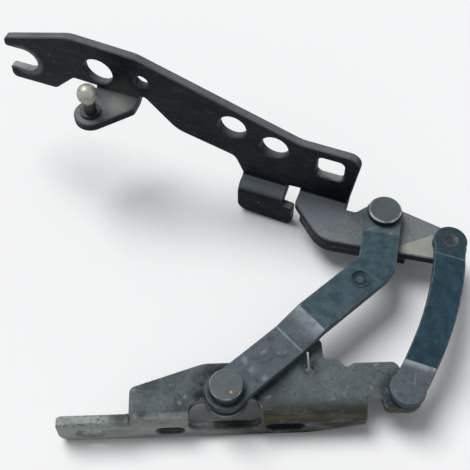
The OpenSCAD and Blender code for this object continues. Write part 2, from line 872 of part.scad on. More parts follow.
// The blind rivet is fast in the rear link and hangs with play in the foot's bush
module rear_lower_rivet() {
  tail_top = web_top - plate_t - seat;
  tail_low = tail_top - tail_h;
  color(link_paint) on_pivot(rear_lower) rotate_extrude() polygon(rounded([
    [0, tail_low, 0],
    [tail_r, tail_low, head_round],
    [tail_r, tail_top, 0],
    [foot_rivet_r, tail_top, 0],
    [foot_rivet_r, low_bed + blind_t, 0],
    [0, low_bed + blind_t, 0]
  ]));
}

// The flush rivet is fast in the rear link, flared into its top face and dished
module rear_upper_rivet() {
  tail_top = arm_top - plate_t - seat;
  tail_low = tail_top - tail_h;
  top = top_bed + link_t;
  dish_r = dish_d / 2;
  color(link_paint) on_pivot(rear_upper) rotate_extrude() polygon(rounded([
    [0, tail_low, 0],
    [tail_r, tail_low, head_round],
    [tail_r, tail_top, 0],
    [rivet_r, tail_top, 0],
    [rivet_r, top - flush_t, 0],
    [flush_r, top, 0],
    [dish_r, top, 0],
    [dish_r / 2, top - dish_t, 0],
    [0, top - dish_t, 0]
  ]));
}

// A flanged bush between the levels low and high; its flange lies on the side given by up
module bush(low, high, bore, up) {
  wall_r = bore + bush_wall;
  color(bearing_bronze) difference() {
    union() {
      translate([0, 0, low]) cylinder(r = wall_r, h = high - low);
      translate([0, 0, up ? high : low - washer_t]) cylinder(r = washer_r, h = washer_t);
    }
    translate([0, 0, low - washer_t - past])
      cylinder(r = bore, h = high - low + 2 * (washer_t + past));
  }
}

module front_lower_bush() {
  on_pivot(front_lower) bush(low_bed, low_bed + link_t, bore_r, true);
}

module front_upper_bush() {
  on_pivot(front_upper) bush(top_bed, top_bed + link_t, bore_r, true);
}

module rear_lower_bush() {
  on_pivot(rear_lower) bush(web_top - plate_t, web_top, foot_bore_r, false);
}

module rear_upper_bush() {
  on_pivot(rear_upper) bush(arm_top - plate_t, arm_top, bore_r, false);
}

module thrust_washer(low, shank_r) {
  color(bearing_bronze) translate([0, 0, low]) difference() {
    cylinder(r = washer_r, h = washer_t);
    translate([0, 0, -past]) cylinder(r = shank_r + washer_clear, h = washer_t + 2 * past);
  }
}

module front_lower_washer() {
  on_pivot(front_lower) thrust_washer(web_top, rivet_r);
}

module front_upper_washer() {
  on_pivot(front_upper) thrust_washer(arm_top, rivet_r);
}

module rear_lower_washer() {
  on_pivot(rear_lower) thrust_washer(web_top + face_gap, foot_rivet_r);
}

module rear_upper_washer() {
  on_pivot(rear_upper) thrust_washer(arm_top, rivet_r);
}

lower_bracket();
upper_bracket();
front_link();
rear_link();
ball_stud();
front_lower_rivet();
front_upper_rivet();
rear_lower_rivet();
rear_upper_rivet();
front_lower_bush();
front_upper_bush();
rear_lower_bush();
rear_upper_bush();
front_lower_washer();
front_upper_washer();
rear_lower_washer();
rear_upper_washer();
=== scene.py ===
import bpy
import bmesh
import json
from math import cos, pi, radians, sin
from mathutils import Matrix, Vector


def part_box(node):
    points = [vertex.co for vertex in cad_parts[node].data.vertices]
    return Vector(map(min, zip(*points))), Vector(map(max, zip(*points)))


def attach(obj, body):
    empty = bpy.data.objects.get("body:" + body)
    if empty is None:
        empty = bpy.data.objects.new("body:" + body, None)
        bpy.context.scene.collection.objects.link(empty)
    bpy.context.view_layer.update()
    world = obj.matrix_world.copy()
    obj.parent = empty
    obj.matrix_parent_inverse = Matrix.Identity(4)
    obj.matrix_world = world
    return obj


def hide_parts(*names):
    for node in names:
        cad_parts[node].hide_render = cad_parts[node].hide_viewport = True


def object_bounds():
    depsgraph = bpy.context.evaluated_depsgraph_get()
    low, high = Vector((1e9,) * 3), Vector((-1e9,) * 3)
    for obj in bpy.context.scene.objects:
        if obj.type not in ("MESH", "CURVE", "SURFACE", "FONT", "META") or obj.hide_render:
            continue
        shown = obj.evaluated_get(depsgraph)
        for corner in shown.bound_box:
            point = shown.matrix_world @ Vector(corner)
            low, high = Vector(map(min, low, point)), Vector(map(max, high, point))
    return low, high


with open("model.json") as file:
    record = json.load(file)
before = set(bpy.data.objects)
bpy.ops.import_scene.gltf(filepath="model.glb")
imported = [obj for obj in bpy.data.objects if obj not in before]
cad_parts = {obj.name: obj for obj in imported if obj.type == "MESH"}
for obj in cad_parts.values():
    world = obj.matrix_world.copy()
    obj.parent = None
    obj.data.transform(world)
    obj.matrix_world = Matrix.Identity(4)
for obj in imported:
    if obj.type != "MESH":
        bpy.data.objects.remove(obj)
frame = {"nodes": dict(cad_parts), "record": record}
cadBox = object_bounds()
mounts = {mount["name"]: Vector(mount["pos_m"]) for mount in frame["record"]["mounts"]}

mm = 0.001
rightward = (1, 0, 0)
inward = (0, 1, 0)
outward = (0, -1, 0)
upward = (0, 0, 1)


def toLinear(hexText):
    channels = [int(hexText[i:i + 2], 16) / 255 for i in (1, 3, 5)]
    return tuple(c / 12.92 if c <= 0.04045 else ((c + 0.055) / 1.055) ** 2.4 for c in channels) + (1.0,)


# adds a node, sets its properties, fills its sockets with values or links, and gives one output
def addNode(tree, kind, sockets=None, out=0, **settings):
    node = tree.nodes.new(kind)
    for name, value in settings.items():
        setattr(node, name, value)
    for key, value in (sockets or {}).items():
        if isinstance(value, bpy.types.NodeSocket):
            tree.links.new(value, node.inputs[key])
        else:
            node.inputs[key].default_value = value
    return node.outputs[out] if node.outputs else node


def newMaterial(name, **values):
    material = bpy.data.materials.new(name)
    material.use_nodes = True
    tree = material.node_tree
    tree.nodes.clear()
    surface = addNode(tree, "ShaderNodeBsdfPrincipled", values)
    addNode(tree, "ShaderNodeOutputMaterial", {"Surface": surface})
    coord = addNode(tree, "ShaderNodeTexCoord", out="Object")
    return material, tree, surface.node.inputs, coord


def middleOf(node):
    low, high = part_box(node)
    return (low + high) / 2


pivotA = middleOf("front_lower_rivet")
pivotB = middleOf("rear_lower_rivet")
pivotC = middleOf("front_upper_rivet")
pivotD = middleOf("rear_upper_rivet")
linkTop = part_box("front_link")[1].z
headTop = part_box("front_lower_rivet")[1].z


# a point given in millimetres from a pivot or a mount
def offPivot(pivot, x, y, z=0.0):
    return pivot + Vector((x, y, z)) * mm


# masks that the finishes share, each between low and high; real dust and paint grain are finer,
# and are drawn as coarse as the render needs to show them

# cloudy patches of a size in millimetres, drawn out along a heading by stretch
def patches(tree, coord, size, start, end, low=0.0, high=1.0, seed=0.0, detail=4.0, heading=0.0, stretch=1.0):
    drawn = addNode(tree, "ShaderNodeMapping", {
        "Vector": coord, "Rotation": (0, 0, radians(heading)), "Scale": (stretch, 1, 1),
    }, vector_type="TEXTURE")
    noise = addNode(tree, "ShaderNodeTexNoise", {
        "Vector": drawn, "W": seed, "Scale": 1 / (size * mm), "Detail": detail, "Roughness": 0.6,
    }, noise_dimensions="4D")
    return addNode(tree, "ShaderNodeMapRange", {
        "Value": noise, "From Min": start, "From Max": end, "To Min": low, "To Max": high,
    }, interpolation_type="SMOOTHSTEP")


# where the surface faces a direction
def facing(tree, start, end, low=0.0, high=1.0, direction=upward):
    normal = addNode(tree, "ShaderNodeTexCoord", out="Normal")
    lean = addNode(tree, "ShaderNodeVectorMath", {
        0: normal, 1: direction}, out="Value", operation="DOT_PRODUCT")
    return addNode(tree, "ShaderNodeMapRange", {
        "Value": lean, "From Min": start, "From Max": end, "To Min": low, "To Max": high,
    }, interpolation_type="SMOOTHSTEP")


# patches on the eased rims alone, where the paint thins and rubs through
def edgeRub(tree, coord, **cloud):
    rim = addNode(tree, "ShaderNodeAttribute", out="Fac", attribute_name="rim")
    return allOf(tree, rim, patches(tree, coord, **cloud))


# from one distance to another, in millimetres, along a direction from a point
def along(tree, coord, point, direction, start, end, low=0.0, high=1.0):
    offset = addNode(tree, "ShaderNodeVectorMath", {0: coord, 1: point}, operation="SUBTRACT")
    run = addNode(tree, "ShaderNodeVectorMath", {
        0: offset, 1: Vector(direction).normalized()}, out="Value", operation="DOT_PRODUCT")
    return addNode(tree, "ShaderNodeMapRange", {
        "Value": run, "From Min": start * mm, "From Max": end * mm, "To Min": low, "To Max": high,
    }, interpolation_type="SMOOTHSTEP")


# the coordinate shaken by noise of a size and shift in millimetres, so that spots get ragged edges
def ragged(tree, coord, size, shift):
    noise = addNode(tree, "ShaderNodeTexNoise", {
        "Vector": coord, "Scale": 1 / (size * mm), "Detail": 3.0}, out="Color")
    centred = addNode(tree, "ShaderNodeVectorMath", {0: noise, 1: (0.5, 0.5, 0.5)}, operation="SUBTRACT")
    return addNode(tree, "ShaderNodeVectorMath", {
        0: centred, 1: (shift * mm,) * 3, 2: coord}, operation="MULTIPLY_ADD")


# round a point, from high inside start to low beyond end, in millimetres
def around(tree, coord, point, start, end, high=1.0, low=0.0):
    gap = addNode(tree, "ShaderNodeVectorMath", {0: coord, 1: point}, out="Value", operation="DISTANCE")
    return addNode(tree, "ShaderNodeMapRange", {
        "Value": gap, "From Min": start * mm, "From Max": end * mm, "To Min": high, "To Max": low,
    }, interpolation_type="SMOOTHSTEP")


def allOf(tree, first, *others):
    for other in others:
        first = addNode(tree, "ShaderNodeMath", {0: first, 1: other}, operation="MULTIPLY")
    return first


def anyOf(tree, first, *others):
    for other in others:
        first = addNode(tree, "ShaderNodeMath", {0: first, 1: other}, operation="MAXIMUM")
    return first


# coats of colour laid one over another by their masks
def layered(tree, ground, *coats):
    colour = toLinear(ground)
    for hexText, mask in coats:
        colour = addNode(tree, "ShaderNodeMix", {
            0: mask, 6: colour, 7: toLinear(hexText)}, out=2, data_type="RGBA")
    return colour


# colour, roughness from smooth to rough by a mask, and a bump of a grain and depth in millimetres
def finish(tree, inputs, coord, colour, dull, smooth, rough, grainSize, depth):
    tree.links.new(colour, inputs["Base Color"])
    roughness = addNode(tree, "ShaderNodeMapRange", {"Value": dull, "To Min": smooth, "To Max": rough})
    tree.links.new(roughness, inputs["Roughness"])
    noise = addNode(tree, "ShaderNodeTexNoise", {
        "Vector": coord, "Scale": 1 / (grainSize * mm), "Detail": 5.0})
    bump = addNode(tree, "ShaderNodeBump", {"Height": noise, "Distance": depth * mm, "Strength": 1.0})
    tree.links.new(bump, inputs["Normal"])


# Electro-dipped black paint on the bonnet bracket: blue-black and dull on the upright faces,
# grey where dust has settled on the arm and tab, rubbed pale in the fork and the square hole
dipPaint = {
    # the greenish grey on the next line, after the washer's, is a painted sheen by the tab's bend
    "deep": "#0c1016", "worn": "#181e26", "streak": "#30363c", "washer": "#62686d", "bendSheen": "#5b5f5d",
    # the arm's bluish grey below is painted shade, and the pale beige after it is painted light on the arm as
    # well as the colour of the tab's scuff
    "dust": "#7d8285", "creaseShade": "#6c757d", "paleArea": "#9a9c92", "rub": "#9b9e99", "rim": "#4c5258",
    "chip": "#a9adab", "gloss": 0.1,
    "surface": {"smooth": 0.46, "rough": 0.78, "grainSize": 1.3, "depth": 0.06},
    # dust on what lies flat, by height over the front upper pivot and by distance from the ball
    "up": {"start": 0.4, "end": 0.95},
    "lying": {"start": 6, "end": 14, "low": 1.0, "high": 0.7},
    "onTab": {"start": 20, "end": 26},
    "fineDust": {"size": 1.6, "start": 0.3, "end": 0.7, "low": 0.74, "seed": 2.0},
    "broadDust": {"size": 14.0, "start": 0.3, "end": 0.7, "low": 0.76, "seed": 3.0},
    # the arm, from the front upper pivot
    "onArm": {"start": 4, "end": 6, "low": 1.0, "high": 0.0},
    # painted shade on the arm beside the flange, where it would turn at a shallow crease
    "creaseShadeFrom": (-22, 2),
    "creaseShadeEdge": {"direction": (0.455, -0.89, 0), "start": -2, "end": 2, "low": 0.65, "high": 0.0},
    "creaseShadeCloud": {"size": 8.0, "start": 0.25, "end": 0.6, "low": 0.5, "seed": 6.0},
    # painted light on the arm beside the rear link, where a facet would slope toward the lamp
    "paleFrom": (7, -14.9),
    "litFacetEdge": {"direction": (0.32, -0.948, 0), "start": -0.3, "end": 0.5},
    "litFacetSide": {"direction": rightward, "start": 2, "end": 5},
    "litFacetCloud": {"size": 3.0, "start": 0.2, "end": 0.6, "low": 0.62, "high": 0.95, "seed": 7.0},
    # rubbed places at the mounts
    "forkRub": {"start": 11, "end": 15, "high": 0.95},
    "forkCloud": {
        "size": 1.5, "start": 0.25, "end": 0.6, "low": 0.5, "seed": 8.0, "heading": 67, "stretch": 5},
    "squareRub": {"start": 9, "end": 12, "high": 0.75},
    "washerRub": {"start": 8.5, "end": 11.0, "high": 0.9},
    "washerCloud": {"size": 2.5, "start": 0.3, "end": 0.65, "low": 0.45, "seed": 12.0},
    # the ball stud's tab, with places from the ball
    "tabBend": (14.949, 10.93, -13.0),
    "bendSheenReach": {"start": 2, "end": 15, "high": 0.8},
    "bendSheenCloud": {"size": 4.0, "start": 0.25, "end": 0.65, "low": 0.5, "seed": 9.0},
    "tabScuff": (13.949, 5.93, -12.0),
    "scuff": {"start": 2, "end": 9, "high": 0.75},
    "scuffCloud": {
        "size": 5.0, "start": 0.25, "end": 0.6, "low": 0.3, "seed": 11.0, "heading": -20, "stretch": 2},
    # all over
    "mottle": {"size": 9.0, "start": 0.35, "end": 0.7, "seed": 1.0},
    "streaks": {
        "size": 2.6, "start": 0.48, "end": 0.75, "high": 0.75, "seed": 10.0, "detail": 6.0, "heading": -22,
        "stretch": 2.5},
    "chips": {"size": 1.1, "start": 0.745, "end": 0.76, "high": 0.8, "seed": 4.0, "detail": 2.0},
    "edges": {"size": 3.5, "start": 0.4, "end": 0.65, "low": 0.15, "high": 0.9, "seed": 5.0},
}


def makeDipPaint():
    look = dipPaint
    fork, ball = mounts["fork_slot"], mounts["strut_ball"]
    material, tree, inputs, coord = newMaterial("dip_painted_steel", **{"Specular IOR Level": look["gloss"]})
    up = facing(tree, **look["up"])
    # the arm and the tab lie flat and hold the dust; the flange's narrow top edge keeps less
    lying = along(tree, coord, pivotC, upward, **look["lying"])
    onTab = around(tree, coord, ball, **look["onTab"])
    dusty = allOf(
        tree, up, anyOf(tree, lying, onTab), patches(tree, coord, **look["fineDust"]),
        patches(tree, coord, **look["broadDust"]))
    onArm = allOf(tree, up, along(tree, coord, pivotC, upward, **look["onArm"]))
    # painted shade darkens the arm beside the flange, as over a shallow crease, and painted light makes it
    # paler beside the rear link, as on a facet sloping toward the lamp
    creaseShaded = allOf(
        tree, onArm, along(tree, coord, offPivot(pivotC, *look["creaseShadeFrom"]), **look["creaseShadeEdge"]),
        patches(tree, coord, **look["creaseShadeCloud"]))
    # paler where a facet would slope toward the lamp: painted light
    paleArea = allOf(
        tree, onArm, along(tree, coord, offPivot(pivotC, *look["paleFrom"]), **look["litFacetEdge"]),
        along(tree, coord, pivotC, **look["litFacetSide"]), patches(tree, coord, **look["litFacetCloud"]))
    forkRub = allOf(
        tree, up, around(tree, coord, fork, **look["forkRub"]), patches(tree, coord, **look["forkCloud"]))
    squareRub = allOf(tree, up, around(tree, coord, mounts["square_hole"], **look["squareRub"]))
    # a washer has rubbed the face dull round the fork
    washerRub = allOf(
        tree, around(tree, coord, fork, **look["washerRub"]), patches(tree, coord, **look["washerCloud"]))
    # painted sheen by the tab's bend, where the tab and the flange beside it would catch the lamp
    bendSheen = allOf(
        tree, around(tree, coord, offPivot(ball, *look["tabBend"]), **look["bendSheenReach"]),
        patches(tree, coord, **look["bendSheenCloud"]))
    scuffed = allOf(
        tree, up, around(tree, coord, offPivot(ball, *look["tabScuff"]), **look["scuff"]),
        patches(tree, coord, **look["scuffCloud"]))
    streaks = patches(tree, coord, **look["streaks"])
    chips = patches(tree, coord, **look["chips"])
    colour = layered(
        tree, look["deep"], (look["worn"], patches(tree, coord, **look["mottle"])), (look["streak"], streaks),
        (look["washer"], washerRub), (look["bendSheen"], bendSheen), (look["dust"], dusty), (look["creaseShade"], creaseShaded),
        (look["paleArea"], paleArea), (look["paleArea"], scuffed), (look["rub"], forkRub), (look["rub"], squareRub),
        (look["rim"], edgeRub(tree, coord, **look["edges"])), (look["chip"], chips))
    finish(tree, inputs, coord, colour, dusty, **look["surface"])
    return material


# The same paint on the body bracket after years at the bottom of the gap: grey road dust in clouds,
# greasy black round the pivot, painted shade on the bend and brown dirt caked along it, pale scuffs and spots
# of rust
roadPaint = {
    # the bluish dust grey on the next line stands in, on the web's right end, for a painted sheen as well
    "dark": "#262c2f", "dust": "#666f73", "front": "#a0a7a4", "light": "#a3a9a6", "pale": "#8f928d",
    "grease": "#171b1e", "speck": "#3a403f", "shade": "#2a2c27", "ochre": "#564f38", "rim": "#6c7271",
    "rust": "#694c39", "gloss": 0.12,
    "surface": {"smooth": 0.48, "rough": 0.82, "grainSize": 1.0, "depth": 0.16},
    # places and distances are from the front lower pivot, at the top of the web
    "up": {"start": 0.1, "end": 0.9, "low": 0.74},
    "clouds": {"size": 11.0, "start": 0.34, "end": 0.62, "low": 0.28, "seed": 1.3, "detail": 6.0},
    "rightDustAndSheen": {"start": 14, "end": 30, "high": 0.8},
    "fineDust": {"size": 1.5, "start": 0.25, "end": 0.72, "low": 0.6, "seed": 2.0},
    "onFlange": {"start": -9, "end": -6, "low": 1.0, "high": 0.0},
    "streaks": {"size": 2.4, "start": 0.35, "end": 0.65, "high": 0.7, "seed": 3.0, "stretch": 7},
    "freeEnd": {"start": -58, "end": -36, "low": 1.0, "high": 0.0},
    "freeCloud": {"size": 4.0, "start": 0.3, "end": 0.6, "low": 0.35, "seed": 8.0, "stretch": 3},
    # grease: x, y, inner and outer radius, strength
    "greaseSpots": ((0, 0, 11, 20, 0.95), (20, 8, 3, 12, 0.4), (37, 12, 1.5, 6, 1.0), (-38, 9, 1, 11, 0.6)),
    "rearGrease": {"start": 10, "end": 14, "high": 0.7},
    "greaseCloud": {"size": 4.0, "start": 0.32, "end": 0.58, "low": 0.15, "seed": 4.0},
    "greaseUp": {"start": 0.2, "end": 0.7},
    # dark specks on the free end of the flange
    "speckEnd": {"start": -44, "end": -40, "low": 1.0, "high": 0.0},
    "speckHeight": {"start": -5, "end": -3},
    "specks": {"size": 1.8, "start": 0.52, "end": 0.64, "high": 0.7, "seed": 13.0},
    "speckFrom": (-45.5, -8),
    "speckSpot": {"start": 1.5, "end": 6.5, "high": 0.8},
    # painted shade and dirt on the bend
    "onBend": {"start": -24, "end": 20, "low": 0.15},
    "shadeDepth": {"start": -8.5, "end": -1, "low": 0.95, "high": 0.0},
    "shadeCloud": {"size": 6.0, "start": 0.28, "end": 0.55, "low": 0.6, "seed": 5.0, "stretch": 2},
    "tideLow": {"start": -4.6, "end": -3.0},
    "tideHigh": {"start": -2.4, "end": -1.2, "low": 1.0, "high": 0.0},
    "tideCloud": {
        "size": 3.0, "start": 0.3, "end": 0.6, "low": 0.3, "high": 0.95, "seed": 11.0, "stretch": 4},
    # scuffs, splashes on the bolt face, pale and rusty spots: x, y, size
    "scuffs": {"size": 3.2, "start": 0.6, "end": 0.72, "high": 0.6, "seed": 6.0, "heading": 15, "stretch": 2},
    "boltFace": {"start": 0.5, "end": 0.9, "direction": outward},
    "splashes": {"size": 6.0, "start": 0.3, "end": 0.6, "low": 0.3, "high": 0.8, "seed": 12.0, "stretch": 3},
    "torn": {"size": 4.5, "shift": 5.0},
    "paleSpots": (
        (-16.9, -0.3, 1.9), (-20.3, -3.4, 1.9), (-39.5, -8.9, 2.4), (-34.3, -9.1, 2.6), (-28, -9.3, 2.4),
        (-40.2, 4.2, 2.0), (63.7, 1.1, 1.6)),
    "paleSpot": {"start": 0.0, "high": 0.7},
    "paleCloud": {"size": 3.0, "start": 0.25, "end": 0.65, "low": 0.3, "seed": 7.0},
    "rustSpots": ((-8.7, -4.3, 1.9), (-30, -8.1, 1.5), (-3, -8.8, 1.2)),
    "rustSpot": {"start": 0.3},
    "rustCloud": {"size": 1.0, "start": 0.35, "end": 0.6, "low": 0.1, "high": 0.9, "seed": 9.0},
    "edges": {"size": 2.5, "start": 0.5, "end": 0.68, "low": 0.15, "high": 0.8, "seed": 10.0},
}


def makeRoadPaint():
    look = roadPaint
    material, tree, inputs, coord = newMaterial("road_dusted_paint", **{"Specular IOR Level": look["gloss"]})
    web = Vector((pivotA.x, pivotA.y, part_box("front_lower_washer")[0].z))
    up = facing(tree, **look["up"])
    clouds = patches(tree, coord, **look["clouds"])
    fine = patches(tree, coord, **look["fineDust"])
    # dust, heavier towards the web's right end, where its bluish grey also stands in for a painted sheen
    dusty = allOf(tree, up, anyOf(tree, clouds, along(tree, coord, web, rightward, **look["rightDustAndSheen"])), fine)
    # streaks run along the body flange, and its free end is rubbed paler
    streaks = allOf(
        tree, along(tree, coord, web, inward, **look["onFlange"]), patches(tree, coord, **look["streaks"]))
    freeEnd = allOf(
        tree, along(tree, coord, web, rightward, **look["freeEnd"]),
        patches(tree, coord, **look["freeCloud"]))
    # grease creeps out from under the link's eye and its leg
    spots = [around(tree, coord, offPivot(web, x, y), *reach) for x, y, *reach in look["greaseSpots"]]
    spots.append(around(tree, coord, pivotB, **look["rearGrease"]))
    grease = allOf(
        tree, anyOf(tree, *spots), patches(tree, coord, **look["greaseCloud"]),
        facing(tree, **look["greaseUp"]))
    specks = allOf(
        tree, along(tree, coord, web, rightward, **look["speckEnd"]),
        along(tree, coord, web, upward, **look["speckHeight"]),
        anyOf(tree, patches(tree, coord, **look["specks"]),
              around(tree, coord, offPivot(web, *look["speckFrom"]), **look["speckSpot"])))
    # painted shade darkens the bend to the right of the window, and ends in an ochre tide line of dirt
    onBend = along(tree, coord, web, rightward, **look["onBend"])
    shade = allOf(
        tree, along(tree, coord, web, inward, **look["shadeDepth"]), onBend,
        patches(tree, coord, **look["shadeCloud"]))
    tide = allOf(
        tree, along(tree, coord, web, upward, **look["tideLow"]),
        along(tree, coord, web, upward, **look["tideHigh"]),
        along(tree, coord, web, inward, **look["onFlange"]), onBend,
        patches(tree, coord, **look["tideCloud"]))
    scuffs = patches(tree, coord, **look["scuffs"])
    splashed = allOf(tree, facing(tree, **look["boltFace"]), patches(tree, coord, **look["splashes"]))
    torn = ragged(tree, coord, **look["torn"])
    pale = anyOf(tree, *(
        around(tree, torn, offPivot(web, x, y), end=size, **look["paleSpot"])
        for x, y, size in look["paleSpots"]))
    pale = allOf(tree, pale, patches(tree, coord, **look["paleCloud"]))
    rust = anyOf(tree, *(
        around(tree, torn, offPivot(web, x, y), end=size, **look["rustSpot"])
        for x, y, size in look["rustSpots"]))
    rust = allOf(tree, rust, patches(tree, coord, **look["rustCloud"]))
    colour = layered(
        tree, look["dark"], (look["dust"], dusty), (look["front"], splashed), (look["light"], streaks),
        (look["pale"], scuffs), (look["grease"], grease), (look["light"], freeEnd), (look["speck"], specks),
        (look["shade"], shade), (look["ochre"], tide), (look["rim"], edgeRub(tree, coord, **look["edges"])),
        (look["pale"], pale), (look["rust"], rust))
    finish(tree, inputs, coord, colour, dusty, **look["surface"])
    return material


# Slate dip paint on the links: blue and satin in the middle where nothing settles,
# grey and scuffed at the eyes, with a painted highlight along each crease and rings of grime and painted
# shade in the corners
slatePaint = {
    # the painted highlight along the creases takes the crest colour, and the rings of grime and painted shade
    # take the darkest one
    "dust": "#5e656a", "smut": "#24292d", "crest": "#98a1a6", "scuff": "#969ca2", "grimeAndShade": "#171c20",
    "rim": "#5c676d", "gloss": 0.1,
    "surface": {"smooth": 0.4, "rough": 0.74, "grainSize": 1.2, "depth": 0.06},
    "up": {"start": 0.3, "end": 0.9},
    "dustUp": {"start": 0.3, "end": 0.9, "low": 0.4},
    "fineDust": {"size": 1.4, "start": 0.28, "end": 0.7, "low": 0.7, "seed": 2.0},
    "broadDust": {"size": 8.0, "start": 0.3, "end": 0.65, "low": 0.72, "seed": 3.0},
    "mottle": {"size": 5.0, "start": 0.34, "end": 0.66, "seed": 1.0, "detail": 6.0},
    "highlightFade": 0.6,
    "highlightCloud": {"size": 3.0, "start": 0.3, "end": 0.6, "low": 0.4, "seed": 4.0},
    "smutCloud": {"size": 4.5, "start": 0.5, "end": 0.78, "high": 0.8, "seed": 5.0, "detail": 6.0},
    "torn": {"size": 5.5, "shift": 6.0},
    "scuffSpot": {"start": 0.0, "high": 0.8},
    "scuffCloud": {"size": 3.5, "start": 0.2, "end": 0.65, "low": 0.25, "high": 0.75, "seed": 6.0},
    "scuffs": {"size": 2.2, "start": 0.56, "end": 0.74, "high": 0.5, "seed": 7.0, "stretch": 3},
    "scratches": {"size": 0.7, "start": 0.64, "end": 0.76, "high": 0.4, "seed": 8.0, "stretch": 14},
    "scratchTurn": 8,
    "darkRingFade": 0.8,
    "darkRingCloud": {"size": 1.6, "start": 0.3, "end": 0.6, "low": 0.45, "high": 0.9, "seed": 10.0},
    "edges": {"size": 2.5, "start": 0.42, "end": 0.64, "low": 0.15, "high": 0.75, "seed": 9.0},
}


# zones: point, direction, from, to, low, high; creases, each drawn as a painted highlight: point, direction,
# at, width, strength; scuffSpots: point, size; the dark rings, of grime and painted shade: point, inner and
# outer radius
def makeSlatePaint(name, heading, deep, clean, zones, creases, scuffSpots, grimeAndShadeRings):
    look = slatePaint
    material, tree, inputs, coord = newMaterial(name, **{"Specular IOR Level": look["gloss"]})
    up = facing(tree, **look["up"])
    reach = anyOf(tree, *(along(tree, coord, *zone) for zone in zones))
    dusty = allOf(
        tree, facing(tree, **look["dustUp"]), reach, patches(tree, coord, **look["fineDust"]),
        patches(tree, coord, **look["broadDust"]))
    mottled = patches(tree, coord, **look["mottle"])
    # a painted highlight along each crease
    creaseHighlights = anyOf(tree, *(
        allOf(tree, along(tree, coord, point, way, at - width, at, 0.0, strength),
              along(tree, coord, point, way, at, at + look["highlightFade"], 1.0, 0.0))
        for point, way, at, width, strength in creases))
    creaseHighlights = allOf(tree, creaseHighlights, up, patches(tree, coord, **look["highlightCloud"]))
    smut = allOf(tree, reach, patches(tree, coord, **look["smutCloud"]))
    torn = ragged(tree, coord, **look["torn"])
    spots = anyOf(tree, *(
        around(tree, torn, point, end=size, **look["scuffSpot"]) for point, size in scuffSpots))
    scuffs = allOf(tree, up, anyOf(
        tree, allOf(tree, spots, patches(tree, coord, **look["scuffCloud"])),
        allOf(tree, reach, patches(tree, coord, heading=heading, **look["scuffs"]))))
    scratches = allOf(
        tree, up, patches(tree, coord, heading=heading + look["scratchTurn"], **look["scratches"]))
    # dark rings of grime and painted shade round the heads and in the coined mark's groove
    grimeAndShade = anyOf(tree, *(
        allOf(tree, around(tree, coord, point, inner - look["darkRingFade"], inner, 0.0, 1.0),
              around(tree, coord, point, inner, outer))
        for point, inner, outer in grimeAndShadeRings))
    grimeAndShade = allOf(tree, grimeAndShade, patches(tree, coord, **look["darkRingCloud"]))
    colour = layered(
        tree, deep, (clean, mottled), (look["dust"], dusty), (look["smut"], smut), (look["crest"], creaseHighlights),
        (look["scuff"], scratches), (look["scuff"], scuffs), (look["grimeAndShade"], grimeAndShade),
        (look["rim"], edgeRub(tree, coord, **look["edges"])))
    finish(tree, inputs, coord, colour, dusty, **look["surface"])
    return material


# Painted rivet heads: upset steel, grey with dust, polished to bright steel round the rim by rubbing,
# with a painted highlight on that rim, and a little rust where the paint has broken
rivetPaint = {
    "dark": "#222b32", "dust": "#62696c", "steelAndHighlight": "#adb4b9", "rust": "#635143", "chip": "#b3ab9c",
    "gloss": 0.15,
    "surface": {"smooth": 0.34, "rough": 0.68, "grainSize": 0.9, "depth": 0.06},
    # how much dust lies on each kind of head, and how bright its rubbed rim and the painted highlight on it
    # are
    "dustyHead": {"dustShare": 0.95, "rimShare": 0.55},
    "rubbedAndHighlitHead": {"dustShare": 0.72, "rimShare": 0.85},
    "slateHead": {"dustShare": 0.15, "rimShare": 0.25},
    "dustUp": {"start": 0.5, "end": 0.97},
    "broadDust": {"size": 5.0, "start": 0.25, "end": 0.7, "low": 0.72, "seed": 1.0},
    "fineDust": {"size": 1.1, "start": 0.25, "end": 0.7, "low": 0.8, "seed": 2.0},
    # the rounded rim, between the side and the top, which takes the painted highlight
    "rimLow": {"start": 0.25, "end": 0.5},
    "rimHigh": {"start": 0.8, "end": 0.97, "low": 1.0, "high": 0.0},
    "rimCloud": {"size": 4.0, "start": 0.35, "end": 0.6, "low": 0.25, "seed": 3.0},
    # the broken place on the front lower head, from its pivot
    "brokenFrom": (1.5, -4),
    "rustSpot": {"start": 0.6, "end": 2.1},
    "rustCloud": {"size": 0.9, "start": 0.3, "end": 0.55, "seed": 4.0},
    "chipShift": (0.5, 0.2),
    "chipSpot": {"start": 0.2, "end": 1.0, "high": 0.8},
}


def makeRivetPaint(name, dustShare, rimShare, spot=None):
    look = rivetPaint
    material, tree, inputs, coord = newMaterial(name, **{"Specular IOR Level": look["gloss"]})
    dusty = allOf(
        tree, facing(tree, high=dustShare, **look["dustUp"]), patches(tree, coord, **look["broadDust"]),
        patches(tree, coord, **look["fineDust"]))
    # rubbed steel on the rounded rim, with a painted highlight
    rim = allOf(
        tree, facing(tree, high=rimShare, **look["rimLow"]), facing(tree, **look["rimHigh"]),
        patches(tree, coord, **look["rimCloud"]))
    coats = [(look["dust"], dusty), (look["steelAndHighlight"], rim)]
    if spot is not None:
        rust = allOf(
            tree, around(tree, coord, spot, **look["rustSpot"]), patches(tree, coord, **look["rustCloud"]))
        chip = around(tree, coord, offPivot(spot, *look["chipShift"]), **look["chipSpot"])
        coats += [(look["rust"], rust), (look["chip"], chip)]
    finish(tree, inputs, coord, layered(tree, look["dark"], *coats), dusty, **look["surface"])
    tree.links.new(rim, inputs["Metallic"])
    return material


